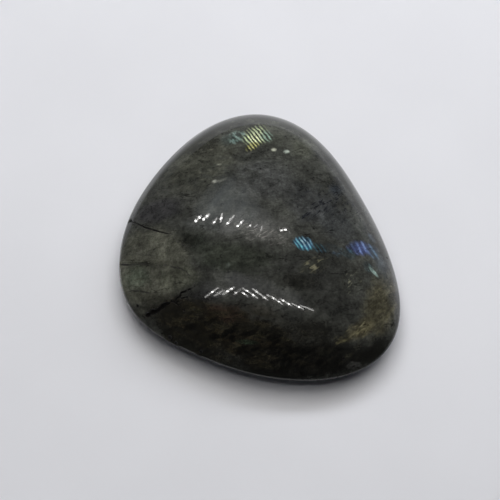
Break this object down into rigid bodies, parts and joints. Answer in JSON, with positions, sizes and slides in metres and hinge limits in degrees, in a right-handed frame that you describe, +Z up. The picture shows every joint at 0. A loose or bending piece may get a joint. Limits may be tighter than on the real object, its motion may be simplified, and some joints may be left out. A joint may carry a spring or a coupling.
{
  "type": "labradorite pebble",
  "caption": "Polished labradorite pebble: a rounded-triangle stone with a low glossy dome, a tight girdle, a flat foot and an open cleft.",
  "frame": {"origin": "middle of the stone's footprint box, on the surface that the flat foot rests on", "axes": "+Z up through the dome, +Y towards the narrow top corner, -X towards the left corner"},
  "size_m": [0.0559, 0.0619, 0.0154],
  "materials": {
    "labradorite": "dark olive-grey feldspar polished to a gloss, with blue, teal and yellow-green flashes"
  },
  "bodies": {
    "root": {"pebble": "labradorite"}
  },
  "joints": []
}
